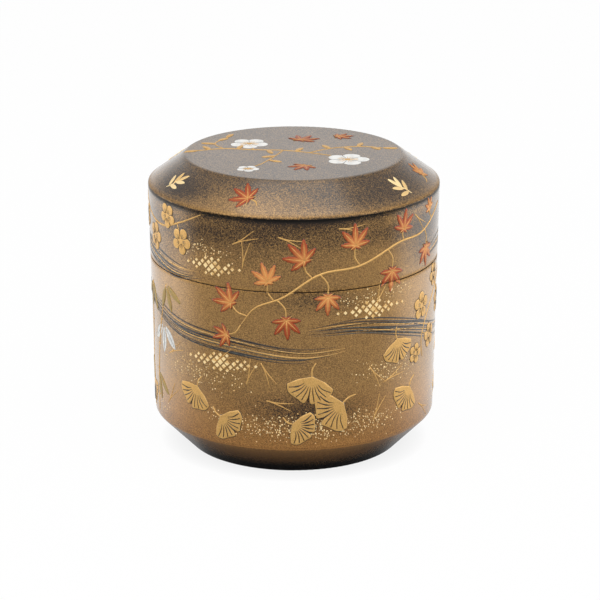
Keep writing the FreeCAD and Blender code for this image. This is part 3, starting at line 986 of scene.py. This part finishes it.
class CADDY_OT_plum(bpy.types.Operator):
    """Draw the plum twigs with their gold blossoms"""

    bl_idname = "caddy.plum"
    bl_label = "Plum"

    def execute(self, context):
        sizes = drawing_sizes(context)
        draw = random.Random(3)
        petals = Drawing("plum_petals", raised_gold)
        shade = Drawing("plum_outlines", drawn_black)
        twigs = Drawing("plum_twigs", raised_gold)
        for branch, spots in PLUM_SPRAYS:
            path = wall_line(branch, 10)
            twigs.ribbon(wall_sheet, path, sizes.line * 1.4, sizes.line_rise, ends=(1.0, 0.4))
            for bearing, height, share in spots:
                heart = wall_point(bearing, height)
                root = nearest(path, heart)
                stalk = [root.lerp(heart, step / 5) for step in range(6)]
                twigs.ribbon(wall_sheet, stalk, sizes.line * 0.9, sizes.line_rise)
                radius = sizes.plum * share
                lay = wall_patch(bearing, height, draw.uniform(0, PETAL_TURN))
                petals.relief(lay, round_outline(radius * 0.36), sizes.leaf_rise * 0.9)
                for petal in range(PETALS):
                    petal_lay = shifted(lay, polar(petal * PETAL_TURN, radius * 0.6))
                    edge = round_outline(radius * 0.37 + sizes.outline)
                    shade.relief(petal_lay, edge, sizes.shade_rise, FLAT_FORM)
                    petals.relief(petal_lay, round_outline(radius * 0.37), sizes.leaf_rise)
                    for swing, near, far in PLUM_LINES:
                        reaches = (near, (near + far) / 2, far)
                        line = [polar(petal * PETAL_TURN + swing, radius * reach) for reach in reaches]
                        shade.ribbon(lay, line, sizes.vein * 0.6, VEIN_RISE, base=sizes.leaf_rise * 0.9)
        part_at_seam(shade, twigs, petals)
        return {"FINISHED"}


SPRIG_LEAVES = ((0.4, -64), (0.8, 58), (1.7, -38), (2.2, 40), (2.6, 4))  # up the stem, swing


class CADDY_OT_bamboo(bpy.types.Operator):
    """Draw the bamboo stems and leaves and the small gold sprigs"""

    bl_idname = "caddy.bamboo"
    bl_label = "Bamboo and sprigs"

    def execute(self, context):
        sizes = drawing_sizes(context)
        draw = random.Random(9)
        stems = Drawing("bamboo_stems", raised_gold)
        leaves = Drawing("bamboo_leaves", green_gold)
        sprigs = Drawing("gold_sprigs", cut_gold)
        for points in BAMBOO_STEMS:
            path = wall_line(points, 10)
            stems.ribbon(wall_sheet, path, sizes.line * 1.6, sizes.line_rise, ends=(1.0, 0.6))
            for knot in path[5::8]:
                across = [knot + Vector((step * 0.3, 0)) for step in (-2, -1, 0, 1, 2)]
                stems.ribbon(wall_sheet, across, sizes.line * 0.9, sizes.line_rise * 1.5)
        for bearing, height, turns in BAMBOO_LEAVES:
            for turn in turns:
                lay = shifted(wall_patch(bearing, height, turn), Vector((0, sizes.bamboo * 0.62)))
                outline = lance_outline(sizes.bamboo * draw.uniform(0.85, 1.1), sizes.bamboo * 0.24)
                leaves.relief(lay, outline, sizes.leaf_rise)
        outline = lance_outline(sizes.sprig, sizes.sprig * 0.3)
        for bearing, height, turn in SPRIGS:
            lay = wall_patch(bearing, height, turn)
            stem = smooth([(0, -0.4), (0.3, 1.0), (0, 2.6)], 5)
            sprigs.ribbon(lay, stem, sizes.line, sizes.line_rise)
            for root, swing in SPRIG_LEAVES:
                middle = Vector((0, root)) + polar(swing, sizes.sprig * 0.5)
                sprigs.relief(turned(lay, middle, swing), outline, sizes.leaf_rise)
        part_at_seam(stems, leaves, sprigs)
        return {"FINISHED"}


class CADDY_OT_needles(bpy.types.Operator):
    """Draw the fallen pine needles, two on each shoot"""

    bl_idname = "caddy.needles"
    bl_label = "Pine needles"

    def execute(self, context):
        sizes = drawing_sizes(context)
        needles = Drawing("pine_needles", raised_gold)
        for bearing, height, turn in PINE_NEEDLES:
            lay = wall_patch(bearing, height, turn)
            for swing in (-9, 9):
                path = smooth([polar(swing * reach, sizes.needle * reach) for reach in (0.0, 0.4, 1.0)], 4)
                needles.ribbon(lay, path, sizes.line * 0.7, sizes.line_rise, ends=(1.0, 0.3))
        part_at_seam(needles)
        return {"FINISHED"}


class CADDY_OT_top(bpy.types.Operator):
    """Draw the twigs and small leaves round the shell blossoms on the lid's top"""

    bl_idname = "caddy.top"
    bl_label = "Lid top"

    def execute(self, context):
        sizes = drawing_sizes(context)
        twigs = Drawing("top_twigs", raised_gold)
        leaves = Drawing("top_leaves", raised_gold)
        for points in TOP_TWIGS:
            path = smooth(points, 8)
            twigs.ribbon(top_sheet, path, sizes.line * 1.2, sizes.line_rise, ends=(1.0, 0.4))
        for across, back, turn in TOP_LEAVES:
            lay = shifted(patch(top_sheet(across, back), turn), Vector((0, 1.7)))
            leaves.relief(lay, lance_outline(3.6, 1.25), sizes.leaf_rise)
        part_at_seam(twigs, leaves)
        return {"FINISHED"}


class CADDY_OT_flakes(bpy.types.Operator):
    """Sprinkle gold flakes on the wall"""

    bl_idname = "caddy.flakes"
    bl_label = "Flakes"

    def execute(self, context):
        sizes = drawing_sizes(context)
        draw = random.Random(21)
        flakes = Drawing("gold_flakes", cut_gold)
        for bearing, half_width, height, half_height, count in FLAKE_DRIFTS:
            for _ in range(count):
                swing = half_width * draw.triangular(-1, 1)
                spot = wall_point(bearing + swing, height + half_height * draw.gauss(0, 0.6))
                if not FLAKES_FROM < spot.y < FLAKES_TO or abs(spot.y - SEAM) < FLAKES_OFF_SEAM:
                    continue
                lay = patch(wall_sheet(*spot), draw.uniform(0, 360))
                radius = sizes.flake * draw.uniform(0.5, 1.15)
                corners = draw.choice((3, 4, 4, 5))
                angles = [360 * corner / corners for corner in range(corners)]
                outline = [polar(angle, radius * draw.uniform(0.7, 1.1)) for angle in angles]
                flakes.relief(lay, outline, sizes.shade_rise, FLAT_FORM)
        part_at_seam(flakes)
        return {"FINISHED"}


SOFTBOXES = (  # name, place, width, height, power in watts
    ("key_softbox", (-0.55, -0.8, 0.7), 1.7, 1.5, 12.4),
    ("fill_softbox", (0.8, -0.6, 0.5), 1.6, 1.0, 8.4),
    ("top_softbox", (0.0, -0.2, 1.0), 1.0, 0.7, 1.95),
    ("left_softbox", (-0.8, 0.2, 0.08), 0.8, 0.14, 1.5),
    ("right_softbox", (0.8, 0.2, 0.08), 0.8, 0.14, 1.5),
)
AIM = Vector((0, 0, HEIGHT * MM / 2))
PAPER = 0.86  # share of the light that the paper throws back
PAPER_GLOW = 0.97  # share of its look that stays as white as the room
NEAR_SHADOW, WIDE_SHADOW = 5 * MM, 45 * MM  # reach of the floor's shadow as seen and as mirrored
# Fades, as sockets of a Map Range node like those of the lacquer
SEEN_SHADOW = {1: 0.0, 2: 1.0, 3: 0.85, 4: 1.0}  # by how open the floor is
MIRRORED_SHADOW = {1: -0.028, 2: -0.012, 3: 3.0, 4: 0.7}  # its power, by the way back from the front
DIM_FLOOR = {1: -0.06, 2: 0.02, 3: 0.12, 4: 1.0}  # by the way back from the front
DIM_FRONT = {1: -0.5, 2: 0.4, 3: 0.3, 4: 0.96}  # of the room, by how far to the back a ray looks
DIM_SIDES = {1: 0.25, 2: 0.55, 3: 1.0, 4: 0.4}  # of the room, by how far aside a ray looks


def white_to_the_eye(tree):
    """1 for rays from the camera or a mirror or glass, and 0 for the light that falls on things."""
    rays = add(tree, "LightPath").outputs
    seen = add(tree, "Math", {0: rays["Is Camera Ray"], 1: rays["Is Glossy Ray"]}, operation="MAXIMUM")
    return add(tree, "Math", {0: seen, 1: rays["Is Transmission Ray"]}, operation="MAXIMUM")


def white_paper():
    """Matt white paper, as bright as the room."""
    # Seen straight on, the paper is washed out close up to the caddy. Mirrored in the lacquer it keeps its
    # whole shadow, deepest in front, and darkens towards the dim front of the room.
    material, tree = blank("white paper")
    near = add(tree, "AmbientOcclusion", {"Distance": NEAR_SHADOW}, samples=8).outputs["AO"]
    near = add(tree, "MapRange", {0: near, **SEEN_SHADOW})
    wide = add(tree, "AmbientOcclusion", {"Distance": WIDE_SHADOW}, samples=8).outputs["AO"]
    place = add(tree, "TexCoord").outputs["Object"]
    back = add(tree, "SeparateXYZ", {0: place}).outputs["Y"]
    power = add(tree, "MapRange", {0: back, **MIRRORED_SHADOW})
    wide = add(tree, "Math", {0: wide, 1: power}, operation="POWER")
    front = add(tree, "MapRange", {0: back, **DIM_FLOOR}, interpolation_type="SMOOTHSTEP")
    wide = add(tree, "Math", {0: wide, 1: front}, operation="MULTIPLY")
    straight = add(tree, "LightPath").outputs["Is Camera Ray"]
    shade = add(tree, "Mix", {0: straight, 2: wide, 3: near})
    paper = add(tree, "BsdfDiffuse", {"Color": grey(PAPER)})
    glow = add(tree, "Emission", {"Color": grey(1.0), "Strength": shade})
    share = add(tree, "Math", {0: white_to_the_eye(tree), 1: PAPER_GLOW}, operation="MULTIPLY")
    mixed = add(tree, "MixShader", {0: share, 1: paper, 2: glow})
    add(tree, "OutputMaterial", {"Surface": mixed})
    return material


def white_room(light):
    """A white room, with a backdrop behind the caddy."""
    # The room beside the caddy and in front of it is dimmer, which shows only in what the lacquer mirrors.
    world = bpy.data.worlds.new("white room")
    world.use_nodes = True
    tree = world.node_tree
    tree.nodes.clear()
    way = add(tree, "SeparateXYZ", {0: add(tree, "TexCoord")}).outputs
    front = add(tree, "MapRange", {0: way["Y"], **DIM_FRONT})
    aside = add(tree, "Math", {0: way["X"]}, operation="ABSOLUTE")
    sides = add(tree, "MapRange", {0: aside, **DIM_SIDES})
    mirrored = add(tree, "Math", {0: front, 1: sides}, operation="MULTIPLY")
    straight = add(tree, "LightPath").outputs["Is Camera Ray"]
    seen = add(tree, "Math", {0: mirrored, 1: straight}, operation="MAXIMUM")
    lit = add(tree, "Mix", {0: white_to_the_eye(tree), 2: light, 3: seen})
    room = add(tree, "Background", {"Color": grey(1.0), "Strength": lit})
    add(tree, "OutputWorld", {"Surface": room})
    return world


class CADDY_OT_stage(bpy.types.Operator):
    """Set up the floor, the lights and the camera"""

    bl_idname = "caddy.stage"
    bl_label = "Stage"

    def execute(self, context):
        scene = context.scene
        settings = scene.caddy_stage
        scene.view_settings.view_transform = "Standard"
        scene.world = white_room(settings.room_light)

        plane = bmesh.new()
        bmesh.ops.create_grid(plane, size=settings.floor_width / 2)
        mesh = bpy.data.meshes.new("floor")
        plane.to_mesh(mesh)
        plane.free()
        mesh.materials.append(white_paper())
        floor = bpy.data.objects.new("floor", mesh)
        scene.collection.objects.link(floor)

        for name, place, width, height, power in SOFTBOXES:
            lamp = bpy.data.lights.new(name, "AREA")
            lamp.shape = "RECTANGLE"
            lamp.size = width
            lamp.size_y = height
            lamp.energy = power
            holder = bpy.data.objects.new(name, lamp)
            holder.location = place
            holder.rotation_euler = (AIM - holder.location).to_track_quat("-Z", "Y").to_euler()
            scene.collection.objects.link(holder)

        camera = bpy.data.objects.new("camera", bpy.data.cameras.new("camera"))
        camera.data.lens = settings.lens
        camera.location = settings.camera_place
        camera.rotation_euler = (math.pi / 2 - settings.camera_pitch, 0, -settings.camera_yaw)
        scene.collection.objects.link(camera)
        scene.camera = camera
        return {"FINISHED"}


class CADDY_PT_sidebar(bpy.types.Panel):
    """Lists the steps that dress the caddy"""

    bl_label = "Tea caddy"
    bl_space_type = "VIEW_3D"
    bl_region_type = "UI"
    bl_category = "Caddy"

    def draw(self, context):
        for operator in OPERATORS:
            self.layout.operator(operator.bl_idname)
        for name in GROUPS:
            settings = getattr(context.scene, name)
            for field in settings.bl_rna.properties:
                if not field.is_readonly and field.identifier != "name":
                    self.layout.prop(settings, field.identifier)


GROUPS = {"caddy_colours": CaddyColours, "caddy_drawing": CaddyDrawing, "caddy_stage": CaddyStage}
OPERATORS = (
    CADDY_OT_lacquer, CADDY_OT_inlay, CADDY_OT_stream, CADDY_OT_maple, CADDY_OT_ginkgo, CADDY_OT_plum,
    CADDY_OT_bamboo, CADDY_OT_needles, CADDY_OT_top, CADDY_OT_flakes, CADDY_OT_stage,
)


def register():
    """Adds the settings, the steps and their panel."""
    for cls in (*GROUPS.values(), *OPERATORS, CADDY_PT_sidebar):
        bpy.utils.register_class(cls)
    for name, group in GROUPS.items():
        setattr(bpy.types.Scene, name, PointerProperty(type=group))


def unregister():
    """Takes the settings, the steps and their panel away."""
    for name in GROUPS:
        delattr(bpy.types.Scene, name)
    for cls in (CADDY_PT_sidebar, *OPERATORS[::-1], *GROUPS.values()):
        bpy.utils.unregister_class(cls)


def main():
    """Dresses the caddy and sets the stage."""
    register()
    bpy.ops.caddy.lacquer()
    bpy.ops.caddy.inlay()
    bpy.ops.caddy.stream()
    bpy.ops.caddy.maple()
    bpy.ops.caddy.ginkgo()
    bpy.ops.caddy.plum()
    bpy.ops.caddy.bamboo()
    bpy.ops.caddy.needles()
    bpy.ops.caddy.top()
    bpy.ops.caddy.flakes()
    bpy.ops.caddy.stage()


if __name__ == "__main__":
    main()
